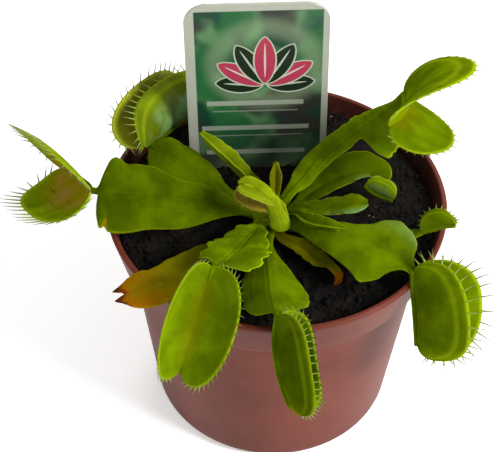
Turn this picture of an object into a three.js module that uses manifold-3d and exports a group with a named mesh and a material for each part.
// A Venus flytrap in a round plastic pot, with its plant label.
// Millimetres, +Z up. The origin is the middle of the pot's underside, and -Y is the front.

import * as THREE from 'three';
import { mergeVertices } from 'three/addons/utils/BufferGeometryUtils.js';
import Module from 'manifold-3d';

const wasm = await Module();
wasm.setup();

// Driving dimensions

const CLEARANCE = 0.3;

const POT = {
  height: 71.5,
  rimRadius: 45,
  rimRound: 0.8,
  wall: 1.6,
  collarFoot: { radius: 42.2, height: 59.5 },
  bodyTopRadius: 39.6,
  shoulderDrop: 1.2,
  bodyFootRadius: 33.6,
  footRound: 4.2,
  floor: 2,
  segments: 40,
  drainHoles: 6,
  drainRadius: 2.5,
  drainCircle: 22,
};

const SOIL = { level: 66.5, relief: 0.55, rings: 8, segments: 36 };

const CROWN = { x: -1.5, y: -4, radius: 5, foot: 60, shoulder: 70, top: 73.2 };

const TAG = {
  x: -5.1,
  y: 17,
  width: 36.8,
  top: 123,
  cornerRadius: 6,
  thickness: 0.8,
  shoulder: 69,
  stakeWidth: 12,
  stakeShoulder: 60,
  pointTop: 40,
  foot: 30,
  yaw: 2.4,
  roll: 1.1,
};

const LEAF = {
  blade: 0.8,
  rowSpacing: 6,
  columnsPerWing: 2,
  stalkSides: 5,
  ribTop: 0.25,
  baseRadius: 1.25,
  neckRadius: 0.85,
  hingeRadius: 0.8,
  tipRadius: 0.5,
};

const TOOTH = { root: 0.75, sunk: 0.1, bend: 0.18 };

const COLOURS = {
  pot: 0x8f5a50,
  soil: 0x1b1613,
  tag: 0x4b6b55,
  crown: 0x9aa04a,
  leaf: 0x6f8a10,
  young: 0x93a92a,
  shaded: 0x4d6a18,
  dying: 0x94701a,
};

// Leaves. Each midrib runs from the crown to the stalk of the trap; left and right are the half widths of
// the blade at those points, seen along the way out; tilt is how many degrees the left and right wings rise.
// A trap's aim is the heading and the rise of its hinge line, turn rolls its mouth about that line, spread is
// the half angle between its lobes, curl is how far they bend in, and lean tips both lobes to one side.

const LEAVES = {
  leaf_left: {
    colour: 'leaf',
    midrib: [[-5.5, -4, 69.8], [-9, -3.9, 71], [-16, -4.5, 74], [-25, -6, 77], [-33, -7, 79], [-40, -7.5, 80],
      [-44.3, -7, 80.5], [-46, -6.6, 80.3], [-47.9, -6.4, 80]],
    left: [1.5, 1.8, 4.5, 8.4, 10, 10.8, 8.8, 1.2, 0.9],
    right: [1.5, 1.6, 4.1, 4.6, 7.9, 8.8, 8.2, 1.2, 0.9],
    tilt: [-22, 30],
    wave: { height: 0.7, count: 2.5 },
    trap: { aim: [117, -29.5], turn: -66.7, hinge: 27.9, depth: [17.3, 17.3], spread: [36.1, 39.2],
      curl: [9.8, 33.9], bow: 0.04, dish: 0.1, waist: [0.42, 0.42], teeth: 9, tooth: 6.3 },
  },
  leaf_upper_left: {
    colour: 'leaf',
    midrib: [[-5, -0.8, 70.3], [-9.5, -0.2, 71.3], [-14, 0.5, 73], [-20.5, 3.7, 75.8], [-26, 6.5, 77.8],
      [-30.8, 9, 79.4], [-33.7, 10.5, 80.2]],
    left: [1.5, 1.8, 3.5, 5, 6, 5.5, 0.9],
    right: [1.5, 1.6, 2.1, 4.3, 5.1, 4.4, 0.9],
    tilt: [-20, 25],
    wave: { height: 0.4, count: 2 },
    trap: { aim: [61, -14.4], turn: -39.7, hinge: 24, depth: [14.7, 16.3], spread: [7.6, 7.2], curl: [54.8, 42.2],
      bow: -0.01, dish: 0.06, waist: [0.46, 0.44], teeth: 9, tooth: 4.5 },
  },
  leaf_right: {
    colour: 'leaf',
    midrib: [[2.3, -7.1, 68.9], [6.5, -10.3, 71.6], [12, -15, 75.5], [19.5, -19, 77.5], [25.5, -21.8, 77.5],
      [29.8, -24.4, 76.6], [32, -26.4, 75.8], [33.7, -28.4, 75.1]],
    left: [1.5, 2, 4, 4.5, 8, 7.6, 3, 0.9],
    right: [1.5, 2, 4.8, 9, 12, 8, 2.5, 0.9],
    tilt: [10, -10],
    wave: { height: 0.7, count: 2 },
    trap: { aim: [-76.2, -62], turn: -61.9, hinge: 20.7, depth: [17, 17.2], spread: [27.2, 23.8], curl: [22.5, 6.4],
      bow: -0.01, dish: 0.79, waist: [0.42, 0.42], teeth: 11, tooth: 5 },
  },
  leaf_front: {
    colour: 'shaded',
    midrib: [[-1.4, -7.5, 69.7], [-1.9, -12, 71.2], [-2.6, -19, 73], [-2.1, -29, 75], [-1.6, -36.5, 76],
      [-0.9, -40.7, 76.2], [-0.2, -43.2, 76.7], [0, -45, 77]],
    left: [1.3, 1.4, 2.1, 7.6, 9.9, 8.8, 2.5, 0.9],
    right: [1.5, 1.6, 3.2, 6.3, 7.4, 6.2, 1, 0.9],
    tilt: [-18, -12],
    wave: { height: 0.4, count: 2 },
    trap: { aim: [-71.1, -58.8], turn: -39.2, hinge: 25, depth: [11.9, 11.6], spread: [9.4, 13.3], curl: [31, 46.4],
      bow: 0.09, dish: 0.42, waist: [0.36, 0.24], teeth: 10, tooth: 3 },
  },
  leaf_lower_left: {
    colour: 'leaf',
    midrib: [[-3.5, -7, 71], [-5, -11.5, 73], [-7, -17, 75], [-10.4, -25.7, 78.8], [-13.3, -32, 81.6],
      [-14.8, -34.3, 82.8], [-15.9, -35.3, 83.3]],
    left: [1.5, 2.5, 4.9, 9.5, 9, 1, 0.9],
    right: [1.5, 3, 7, 8.1, 7, 1, 0.9],
    tilt: [15, -10],
    wave: { height: 1, count: 4 },
    trap: { aim: [-116.4, -50], turn: -31.5, hinge: 27.1, depth: [12, 12.2], spread: [49.1, 47.8],
      curl: [31.1, 21.9], bow: 0.04, dish: 0.21, waist: [0.31, 0.39], teeth: 10, tooth: 3 },
  },
  leaf_upper_right: {
    colour: 'leaf',
    midrib: [[1.7, -0.9, 71.4], [4, 1.2, 73.8], [6.5, 3, 75.5], [11, 6.5, 80], [17.5, 9.5, 84.5],
      [20.3, 10.8, 86.3], [21.9, 11.5, 87.2], [24.3, 12.7, 88.7], [27.6, 13.8, 91.2], [30.2, 14.4, 93.2],
      [32.2, 15.3, 95]],
    left: [1.5, 1.8, 3.2, 3.7, 3.7, 3.6, 3.3, 2.6, 1.5, 0.9, 0.9],
    right: [1.5, 1.6, 2.4, 2.8, 3, 3.2, 10.6, 10.6, 9, 5, 0.9],
    tilt: [12, -30],
    wave: { height: 0.3, count: 2 },
    trap: { aim: [-103.6, 23.3], turn: -77.6, hinge: 26.6, depth: [22.4, 14.9], spread: [28.7, 36.6],
      curl: [35.8, 9.6], bow: -0.08, dish: 0.1, waist: [0.42, 0.42], teeth: 9, tooth: 3 },
  },
  leaf_low_right: {
    colour: 'leaf',
    small: true,
    rib: 0.9,
    midrib: [[3.5, -4.6, 68.5], [9, -6.4, 68.8], [18, -10, 69.3], [27, -13, 70.9], [33, -14.3, 73],
      [37.3, -14, 74.6]],
    left: [1.2, 1.3, 1.8, 2.4, 2.2, 0.8],
    right: [1.2, 1.3, 1.8, 2.4, 2.2, 0.8],
    tilt: [5, 5],
    wave: { height: 0.2, count: 2 },
    trap: { aim: [-5.5, 23.9], turn: -58.9, hinge: 8.7, depth: [5.3, 5.3], spread: [32, 44], curl: [47, 27],
      bow: -0.06, dish: 0.27, waist: [0.33, 0.24], teeth: 7, tooth: 1.6 },
  },
  leaf_shaded: {
    colour: 'shaded',
    small: true,
    rib: 0.9,
    midrib: [[2.7, -2.4, 69.1], [5.6, -0.4, 69.5], [10, 3, 71.3], [15.5, 5.6, 73], [20.8, 7, 74.3],
      [24.8, 6.2, 74.6], [25.2, 3.8, 74.4], [23.4, 2.2, 74.2]],
    left: [1.3, 1.6, 3.7, 6, 6.5, 5.8, 4, 0.7],
    right: [1.3, 1.6, 3.5, 4.5, 4, 1.2, 0.8, 0.7],
    tilt: [15, 15],
    wave: { height: 0.3, count: 2 },
    trap: { aim: [-22, -12], turn: -42, hinge: 8, depth: [5.3, 5.3], spread: [22, 22], curl: [45, 45], bow: 0.05,
      dish: 0.4, waist: [0.3, 0.2], teeth: 6, tooth: 0.8 },
  },
  leaf_centre: {
    colour: 'young',
    small: true,
    rib: 0.9,
    face: [-0.3, -1, 0.3],
    midrib: [[0.6, -7, 70.8], [0.6, -9, 73.2], [0.3, -9.7, 76], [-0.5, -10, 79.3], [-1.7, -9.8, 81.8]],
    left: [2, 2.5, 2.4, 2.1, 1.5],
    right: [2, 2.5, 2.4, 2.1, 1.5],
    tilt: [10, 10],
    wave: { height: 0, count: 1 },
    trap: { aim: [170, 20], turn: -110, hinge: 8, depth: [5.5, 5.5], spread: [40, 40], curl: [20, 20], bow: 0.04,
      dish: 0.3, waist: [0.42, 0.42], teeth: 6, tooth: 0.8 },
  },
  leaf_narrow: {
    colour: 'young',
    rib: 0.9,
    midrib: [[-2.6, -0.6, 71.3], [-4.6, 2, 73.3], [-8.5, 3.5, 76], [-12.5, 5, 80], [-16.7, 7.4, 83], [-20.4, 10.2, 85]],
    left: [1.3, 1.6, 2.3, 2.9, 2.4, 1],
    right: [1.3, 1.6, 2.3, 2.9, 2.4, 1],
    tilt: [50, 50],
    wave: { height: 0, count: 1 },
  },
  leaf_bud: {
    colour: 'young',
    rib: 0.9,
    face: [0, -1, 0.2],
    midrib: [[-0.5, -1.5, 70.5], [-0.5, 0, 73], [-0.5, 0.3, 77], [-0.5, 0.5, 81], [-0.5, 0.6, 84]],
    left: [1, 1.3, 1.8, 1.9, 0.5],
    right: [1, 1.3, 1.8, 1.9, 0.5],
    tilt: [35, 35],
    wave: { height: 0, count: 1 },
  },
  leaf_short: {
    colour: 'leaf',
    rib: 0.9,
    midrib: [[3.1, -3.8, 71.8], [5.9, -5.1, 73.6], [9.7, -7.2, 75], [16, -8.3, 77.5], [20.3, -8.4, 78.5],
      [23.2, -8.1, 78.5]],
    left: [1.3, 1.6, 2.6, 2.9, 3, 1],
    right: [1.3, 1.6, 2.6, 4, 4.2, 1],
    tilt: [20, 15],
    wave: { height: 0.3, count: 1 },
  },
  leaf_folded: {
    colour: 'leaf',
    rib: 0.9,
    midrib: [[2.7, -6.4, 71.9], [5.2, -8.8, 74.4], [8, -14, 77.3], [12, -16.9, 79.3], [17.1, -18.7, 80.2]],
    left: [1.2, 1.4, 2.4, 2.2, 0.5],
    right: [1.2, 1.4, 2.2, 2.2, 0.5],
    tilt: [50, 35],
    wave: { height: 0, count: 1 },
  },
  leaf_dying: {
    colour: 'dying',
    midrib: [[-5.3, -7, 68.6], [-9.5, -12.2, 69.6], [-18, -22, 72.5], [-26.6, -30.6, 74.5], [-33.8, -35.1, 75], [-40.4, -37.1, 73.7]],
    left: [1.3, 2, 4, 8.5, 8.8, 3],
    right: [1.3, 2, 5, 5.6, 6, 3],
    tilt: [15, -8],
    wave: { height: 0.4, count: 2 },
  },
  leaf_withering: {
    colour: 'dying',
    rib: 0.9,
    midrib: [[0, -7.8, 67.9], [1.5, -11.7, 68.8], [6, -16, 70.5], [10.4, -20.6, 71], [13.5, -22.6, 70.7],
      [15.7, -25.2, 69.8], [14.7, -28, 69.2]],
    left: [1.2, 1.5, 2.3, 2.5, 1.4, 1.2, 0.6],
    right: [1.2, 1.5, 2.3, 2.5, 1.2, 1.2, 0.6],
    tilt: [15, -5],
    wave: { height: 0.2, count: 1 },
  },
};

// Helpers for numbers and vectors

const vec = (x, y, z) => new THREE.Vector3(x, y, z);
const radians = THREE.MathUtils.degToRad;

// Smooth run through evenly numbered values, t from 0 to 1
function smooth(values, t) {
  const place = t * (values.length - 1);
  const i = Math.min(Math.floor(place), values.length - 2);
  const value = (k) => values[Math.max(0, Math.min(values.length - 1, k))];
  const f = place - i;
  const [a, b, c, d] = [value(i - 1), value(i), value(i + 1), value(i + 2)];
  return b + 0.5 * f * (c - a + f * (2 * a - 5 * b + 4 * c - d + f * (3 * (b - c) + d - a)));
}

function smoothPoint(points, t) {
  return vec(...[0, 1, 2].map((k) => smooth(points.map((p) => p[k]), t)));
}

// Helpers for solids

function meshData(positions, triangles) {
  const geometry = new THREE.BufferGeometry();
  geometry.setAttribute('position', new THREE.Float32BufferAttribute(positions, 3));
  geometry.setIndex(triangles);
  return geometry;
}

function toSolid(geometry) {
  const bare = geometry.clone();
  bare.deleteAttribute('normal');
  bare.deleteAttribute('uv');
  const merged = mergeVertices(bare, 1e-4);
  const index = merged.index.array;
  const kept = [];
  for (let i = 0; i < index.length; i += 3) {
    const [a, b, c] = [index[i], index[i + 1], index[i + 2]];
    if (a !== b && b !== c && c !== a) kept.push(a, b, c);
  }
  return new wasm.Manifold(new wasm.Mesh({
    numProp: 3,
    vertProperties: Float32Array.from(merged.attributes.position.array),
    triVerts: Uint32Array.from(kept),
  }));
}

function toGeometry(solid) {
  const mesh = solid.getMesh();
  const geometry = meshData(Array.from(mesh.vertProperties), Array.from(mesh.triVerts));
  geometry.computeVertexNormals();
  return geometry;
}

const joinAll = (solids) => solids.reduce((all, next) => all.add(next));

// Leaves out the slivers that a fold in a thin shell can shed
function largestBody(solid) {
  return solid.decompose().reduce((best, next) => (next.volume() > best.volume() ? next : best));
}

// Turned solid: profile points are radius and height, from axis to axis
function turned(profile, segments) {
  const lathe = new THREE.LatheGeometry(profile.map(([r, z]) => new THREE.Vector2(r, z)), segments);
  lathe.rotateX(Math.PI / 2);
  return toSolid(lathe);
}

// Thin shell around a grid of points, split into triangles alike on both faces
function shell(rows, thickness) {
  const n = rows.length;
  const m = rows[0].length;
  const positions = [];
  for (const side of [0.5, -0.5]) {
    for (let i = 0; i < n; i++) {
      for (let j = 0; j < m; j++) {
        const along = rows[Math.min(i + 1, n - 1)][j].clone().sub(rows[Math.max(i - 1, 0)][j]);
        const across = rows[i][Math.min(j + 1, m - 1)].clone().sub(rows[i][Math.max(j - 1, 0)]);
        const normal = along.cross(across).normalize();
        positions.push(...rows[i][j].clone().addScaledVector(normal, side * thickness));
      }
    }
  }
  const top = (i, j) => i * m + j;
  const under = (i, j) => n * m + i * m + j;
  const triangles = [];
  const quad = (a, b, c, d) => triangles.push(a, b, c, a, c, d);
  for (let i = 0; i < n - 1; i++) {
    for (let j = 0; j < m - 1; j++) {
      quad(top(i, j), top(i + 1, j), top(i + 1, j + 1), top(i, j + 1));
      triangles.push(under(i, j), under(i + 1, j + 1), under(i + 1, j));
      triangles.push(under(i, j), under(i, j + 1), under(i + 1, j + 1));
    }
    quad(top(i, 0), under(i, 0), under(i + 1, 0), top(i + 1, 0));
    quad(top(i + 1, m - 1), under(i + 1, m - 1), under(i, m - 1), top(i, m - 1));
  }
  for (let j = 0; j < m - 1; j++) {
    quad(top(0, j + 1), under(0, j + 1), under(0, j), top(0, j));
    quad(top(n - 1, j), under(n - 1, j), under(n - 1, j + 1), top(n - 1, j + 1));
  }
  return toSolid(meshData(positions, triangles));
}

// Tapering round bar through the points, with flat ends
function bar(points, radii, sides) {
  const positions = [];
  const triangles = [];
  let side = null;
  points.forEach((point, i) => {
    const ahead = points[Math.min(i + 1, points.length - 1)].clone();
    const along = ahead.sub(points[Math.max(i - 1, 0)]).normalize();
    side = side ?? vec(0, 0, 1).cross(along);
    side.addScaledVector(along, -side.dot(along)).normalize();
    const up = along.clone().cross(side);
    for (let k = 0; k < sides; k++) {
      const angle = (2 * Math.PI * k) / sides;
      const rim = point.clone().addScaledVector(side, radii[i] * Math.cos(angle));
      positions.push(...rim.addScaledVector(up, radii[i] * Math.sin(angle)));
    }
  });
  const last = points.length - 1;
  for (let k = 0; k < sides; k++) {
    const next = (k + 1) % sides;
    for (let i = 0; i < last; i++) {
      const [a, b] = [i * sides + k, i * sides + next];
      triangles.push(a, b, b + sides, a, b + sides, a + sides);
    }
  }
  for (let k = 1; k < sides - 1; k++) {
    triangles.push(0, k + 1, k);
    triangles.push(last * sides, last * sides + k, last * sides + k + 1);
  }
  return toSolid(meshData(positions, triangles));
}

// Pot

function potProfile(outset) {
  const { height, rimRadius, wall, collarFoot, bodyTopRadius, shoulderDrop, bodyFootRadius, footRound } = POT;
  const outer = [
    [bodyFootRadius, footRound],
    [bodyTopRadius, collarFoot.height - shoulderDrop],
    [collarFoot.radius, collarFoot.height],
    [rimRadius, height],
  ];
  return outer.map(([r, z]) => [r - outset * wall, z]);
}

function makePot() {
  const { height, rimRadius, rimRound, wall, footRound, bodyFootRadius, floor } = POT;
  const [, bodyTop, collarFoot] = potProfile(0);
  const [innerFoot, innerBodyTop, innerCollarFoot] = potProfile(1);
  const arc = [0, 1, 2, 3].map((k) => {
    const angle = (Math.PI / 2) * (k / 3);
    const centre = bodyFootRadius - footRound;
    return [centre + footRound * Math.sin(angle), footRound * (1 - Math.cos(angle))];
  });
  const profile = [
    [0, 0],
    ...arc,
    bodyTop,
    collarFoot,
    [rimRadius - 0.1, height - rimRound],
    [rimRadius - rimRound / 2, height],
    [rimRadius - wall, height],
    innerCollarFoot,
    innerBodyTop,
    innerFoot,
    [innerFoot[0] - footRound + wall, floor],
    [0, floor],
  ];
  let pot = turned(profile, POT.segments);
  for (let k = 0; k < POT.drainHoles; k++) {
    const angle = (2 * Math.PI * (k + 0.5)) / POT.drainHoles;
    const hole = new THREE.CylinderGeometry(POT.drainRadius, POT.drainRadius, 4 * floor, 12);
    hole.rotateX(Math.PI / 2);
    hole.translate(POT.drainCircle * Math.cos(angle), POT.drainCircle * Math.sin(angle), floor / 2);
    pot = pot.subtract(toSolid(hole));
  }
  return pot;
}

// Soil: a plug with a lumpy top, a slot for the label's stake and a hole for the crown

function soilHeight(x, y) {
  const lumps = Math.sin(x * 0.55 + 1.3) * Math.cos(y * 0.47 - 0.6) + 0.7 * Math.sin(0.9 * y - 0.7 * x + 2.1);
  return SOIL.level + SOIL.relief * lumps;
}

function makeSoil() {
  const [foot, bodyTop, collarFoot, rim] = potProfile(1);
  const grow = (rim[0] - collarFoot[0]) / (rim[1] - collarFoot[1]);
  const wallRadius = (z) => collarFoot[0] + grow * (z - collarFoot[1]) - CLEARANCE;
  const { rings, segments } = SOIL;
  const positions = [0, 0, soilHeight(0, 0)];
  const triangles = [];
  const ringPoint = (k) => [Math.cos((2 * Math.PI * k) / segments), Math.sin((2 * Math.PI * k) / segments)];
  const edge = wallRadius(SOIL.level);
  for (let i = 1; i <= rings; i++) {
    const radius = (edge * i) / rings;
    for (let k = 0; k < segments; k++) {
      const [x, y] = ringPoint(k).map((c) => c * radius);
      positions.push(x, y, i === rings ? SOIL.level : soilHeight(x, y));
    }
  }
  const side = [
    [collarFoot[0] - CLEARANCE, collarFoot[1]],
    [bodyTop[0] - CLEARANCE, bodyTop[1]],
    [foot[0] - CLEARANCE, foot[1]],
    [foot[0] - POT.footRound + POT.wall - CLEARANCE, POT.floor + CLEARANCE],
  ];
  for (const [radius, z] of side) {
    for (let k = 0; k < segments; k++) positions.push(...ringPoint(k).map((c) => c * radius), z);
  }
  positions.push(0, 0, POT.floor + CLEARANCE);
  const ringCount = rings + side.length;
  const at = (i, k) => 1 + (i - 1) * segments + (k % segments);
  for (let k = 0; k < segments; k++) {
    triangles.push(0, at(1, k), at(1, k + 1));
    for (let i = 1; i < ringCount; i++) {
      triangles.push(at(i, k), at(i + 1, k), at(i + 1, k + 1), at(i, k), at(i + 1, k + 1), at(i, k + 1));
    }
    triangles.push(at(ringCount, k), 1 + ringCount * segments, at(ringCount, k + 1));
  }
  return toSolid(meshData(positions, triangles)).subtract(makeCrown(CLEARANCE)).subtract(makeTag(CLEARANCE));
}

// Crown: a short domed rhizome

function makeCrown(grow) {
  const { x, y, radius, foot, shoulder, top } = CROWN;
  const arc = [0, 1, 2, 3].map((k) => {
    const angle = (Math.PI / 2) * (k / 3);
    return [(radius + grow) * Math.cos(angle), shoulder + (top + grow - shoulder) * Math.sin(angle)];
  });
  arc[3][0] = 0;
  return turned([[0, foot - grow], [radius * 0.7 + grow, foot - grow], ...arc], 14).translate(x, y, 0);
}

// Plant label: a card with round upper corners and a pointed stake

function makeTag(grow) {
  const { width, cornerRadius, shoulder, stakeWidth, stakeShoulder, pointTop, foot, top } = TAG;
  const half = width / 2 + grow;
  const stake = stakeWidth / 2 + grow;
  const outline = new THREE.Shape();
  outline.moveTo(-half, shoulder);
  outline.lineTo(-stake, stakeShoulder);
  outline.lineTo(-stake, pointTop);
  outline.lineTo(-grow - 1, foot - grow);
  outline.lineTo(grow + 1, foot - grow);
  outline.lineTo(stake, pointTop);
  outline.lineTo(stake, stakeShoulder);
  outline.lineTo(half, shoulder);
  outline.lineTo(half, top - cornerRadius);
  outline.absarc(half - cornerRadius, top - cornerRadius, cornerRadius, 0, Math.PI / 2, false);
  outline.absarc(cornerRadius - half, top - cornerRadius, cornerRadius, Math.PI / 2, Math.PI, false);
  const thickness = TAG.thickness + 2 * grow;
  const card = new THREE.ExtrudeGeometry(outline, { depth: thickness, bevelEnabled: false, curveSegments: 6 });
  card.translate(0, -SOIL.level, -thickness / 2);
  card.rotateZ(radians(TAG.roll));
  card.rotateX(Math.PI / 2);
  card.rotateZ(radians(TAG.yaw));
  card.translate(TAG.x, TAG.y, SOIL.level);
  return toSolid(card);
}

// Leaf blade: the two wings of the petiole

function makeBlade(leaf) {
  const face = vec(...(leaf.face ?? [0, 0, 1])).normalize();
  const rows = [];
  const stations = leaf.midrib.map((p) => vec(...p));
  const steps = stations.flatMap((p, i) => {
    const next = stations[i + 1];
    return next && p.distanceTo(next) > LEAF.rowSpacing ? [i, i + 0.5] : [i];
  });
  for (const step of steps) {
    const t = step / (stations.length - 1);
    const middle = smoothPoint(leaf.midrib, t);
    const along = smoothPoint(leaf.midrib, Math.min(1, t + 0.01)).sub(smoothPoint(leaf.midrib, Math.max(0, t - 0.01)));
    const leftward = face.clone().cross(along).normalize();
    const normal = along.clone().cross(leftward).normalize();
    const row = [];
    for (let j = -LEAF.columnsPerWing; j <= LEAF.columnsPerWing; j++) {
      const onLeft = j < 0;
      const share = Math.abs(j) / LEAF.columnsPerWing;
      const width = Math.max(0.45, smooth(onLeft ? leaf.left : leaf.right, t)) * share;
      const tilt = radians(leaf.tilt[onLeft ? 0 : 1]);
      const phase = 2 * Math.PI * leaf.wave.count * t + (onLeft ? 0 : 1.9);
      const wave = leaf.wave.height * share ** 2 * Math.sin(phase) * Math.sin(Math.PI * t);
      const point = middle.clone().addScaledVector(leftward, (onLeft ? 1 : -1) * width * Math.cos(tilt));
      row.push(point.addScaledVector(normal, width * Math.sin(tilt) + wave));
    }
    rows.push(row);
  }
  return shell(rows, LEAF.blade);
}

// Trap: its frame, a point on a lobe, and the shell of both lobes with their teeth

function trapFrame(leaf) {
  const { aim, turn } = leaf.trap;
  const [heading, rise] = aim.map(radians);
  const along = vec(Math.cos(rise) * Math.cos(heading), Math.cos(rise) * Math.sin(heading), Math.sin(rise));
  const upright = vec(0, 0, 1).addScaledVector(along, -along.z).normalize();
  const level = along.clone().cross(upright);
  const mouth = upright.multiplyScalar(Math.cos(radians(turn))).addScaledVector(level, Math.sin(radians(turn)));
  const neck = leaf.midrib[leaf.midrib.length - 1];
  return { neck: vec(...neck), along, mouth, sideways: along.clone().cross(mouth) };
}

function trapPoint(trap, frame, side, u, v) {
  const { hinge, bow, dish } = trap;
  const [depth, spread, curl] = [trap.depth, trap.spread, trap.curl].map((pair) => pair[side > 0 ? 0 : 1]);
  const waist = THREE.MathUtils.lerp(...trap.waist, u);
  const square = 0.85;
  const power = (value) => Math.sign(value) * Math.abs(value) ** square;
  const reach = depth * (1 - waist);
  const start = Math.asin(Math.min(1, (waist * depth) / reach) ** (1 / square));
  const halfLength = hinge / 2 / Math.cos(start) ** square;
  const angle = -start + (Math.PI + 2 * start) * u;
  const hingeX = hinge * (u - 0.5);
  const x = hingeX + (-halfLength * power(Math.cos(angle)) - hingeX) * v;
  const y = Math.max(0, waist * depth + reach * power(Math.sin(angle))) * v;
  const first = radians(spread + curl);
  const turnRate = (radians(spread - curl) - first) / depth;
  const out = (Math.sin(first + turnRate * y) - Math.sin(first)) / turnRate;
  const apart = ((Math.cos(first) - Math.cos(first + turnRate * y)) / turnRate) * (1 - dish * (x / halfLength) ** 2);
  const bend = bow * hinge * ((2 * x / hinge) ** 2 - 1);
  return frame.neck.clone()
    .addScaledVector(frame.along, x + hinge / 2)
    .addScaledVector(frame.mouth, out + bend)
    .addScaledVector(frame.sideways, side * apart);
}

// The same point on the flat facets that the shell is made of
function facetPoint(leaf, frame, side, u, v) {
  const [along, deep] = facets(leaf);
  const i = Math.max(0, Math.min(along - 1, Math.floor(u * along)));
  const j = Math.max(0, Math.min(deep - 1, Math.floor(v * deep)));
  const near = [0, 1].map((k) => {
    const low = trapPoint(leaf.trap, frame, side, (i + k) / along, j / deep);
    const high = trapPoint(leaf.trap, frame, side, (i + k) / along, (j + 1) / deep);
    return low.lerp(high, v * deep - j);
  });
  return near[0].lerp(near[1], u * along - i);
}

function facets(leaf) {
  return leaf.small ? [7, 2] : [12, 4];
}

function makeTrap(leaf) {
  const { trap } = leaf;
  const frame = trapFrame(leaf);
  const [along, deep] = facets(leaf);
  const rows = [];
  for (let i = 0; i <= along; i++) {
    const row = [];
    for (let j = -deep; j <= deep; j++) {
      row.push(trapPoint(trap, frame, j < 0 ? -1 : 1, i / along, Math.abs(j) / deep));
    }
    rows.push(row);
  }
  const parts = [shell(rows, LEAF.blade)];
  for (const side of [-1, 1]) {
    for (let k = 0; k < trap.teeth; k++) {
      const u = 0.1 + (0.8 * (k + (side > 0 ? 0.25 : 0.75))) / trap.teeth;
      parts.push(makeTooth(leaf, frame, side, u));
    }
  }
  return parts;
}

// Tooth: a three sided spike out of a lobe's edge, leaning towards the other lobe
function makeTooth(leaf, frame, side, u) {
  const { trap } = leaf;
  const edge = facetPoint(leaf, frame, side, u, 1);
  const root = facetPoint(leaf, frame, side, u, 1 - TOOTH.sunk);
  const tangent = trapPoint(trap, frame, side, u + 0.02, 1);
  tangent.sub(trapPoint(trap, frame, side, u - 0.02, 1)).normalize();
  const outward = edge.clone().sub(facetPoint(leaf, frame, side, u, 0.85));
  outward.addScaledVector(tangent, -outward.dot(tangent)).normalize();
  const length = trap.tooth * (0.55 + 0.45 * Math.sin(Math.PI * u));
  const tip = edge.clone().addScaledVector(outward, length);
  tip.addScaledVector(frame.sideways, -side * length * TOOTH.bend);
  const normal = outward.clone().cross(tangent);
  const positions = [];
  for (const angle of [90, 210, 330].map(radians)) {
    const corner = root.clone().addScaledVector(tangent, (TOOTH.root / 2) * Math.cos(angle) * 1.2);
    positions.push(...corner.addScaledVector(normal, (TOOTH.root / 2) * Math.sin(angle)));
  }
  positions.push(...tip);
  return toSolid(meshData(positions, [0, 2, 1, 0, 1, 3, 1, 2, 3, 2, 0, 3]));
}

// Midrib: a bar under the blade, through the stalk and along the trap's hinge
function makeMidrib(leaf) {
  const face = vec(...(leaf.face ?? [0, 0, 1])).normalize();
  const count = leaf.midrib.length - 1;
  const end = leaf.trap ? 1 : 0.9;
  const points = [];
  const radii = [];
  for (let i = 0; i <= count; i++) {
    const t = (end * i) / count;
    const radius = THREE.MathUtils.lerp(leaf.rib ?? LEAF.baseRadius, LEAF.neckRadius, Math.sqrt(t));
    const below = face.clone().multiplyScalar((LEAF.ribTop - radius) * Math.min(1, 8 * (1 - t)));
    points.push(smoothPoint(leaf.midrib, t).add(below));
    radii.push(radius);
  }
  if (leaf.trap) {
    const frame = trapFrame(leaf);
    for (const u of [0.15, 0.4, 0.7, 0.97]) {
      points.push(trapPoint(leaf.trap, frame, 1, u, 0));
      radii.push(THREE.MathUtils.lerp(LEAF.hingeRadius, LEAF.tipRadius, u));
    }
  }
  return bar(points, radii, LEAF.stalkSides);
}

function makeLeaf(leaf) {
  const parts = [makeBlade(leaf), makeMidrib(leaf)];
  if (leaf.trap) parts.push(...makeTrap(leaf));
  return largestBody(joinAll(parts).subtract(makeCrown(CLEARANCE)));
}

// The whole plant

const group = new THREE.Group();
group.name = 'potted_venus_flytrap';

function place(name, solid, colour, roughness) {
  const material = new THREE.MeshStandardMaterial({ color: COLOURS[colour], roughness, metalness: 0 });
  const mesh = new THREE.Mesh(toGeometry(solid), material);
  mesh.name = name;
  group.add(mesh);
}

place('pot', makePot(), 'pot', 0.5);
place('soil', makeSoil(), 'soil', 0.95);
place('plant_tag', makeTag(0), 'tag', 0.4);
place('crown', makeCrown(0), 'crown', 0.6);
for (const [name, leaf] of Object.entries(LEAVES)) place(name, makeLeaf(leaf), leaf.colour, 0.45);

export default group;
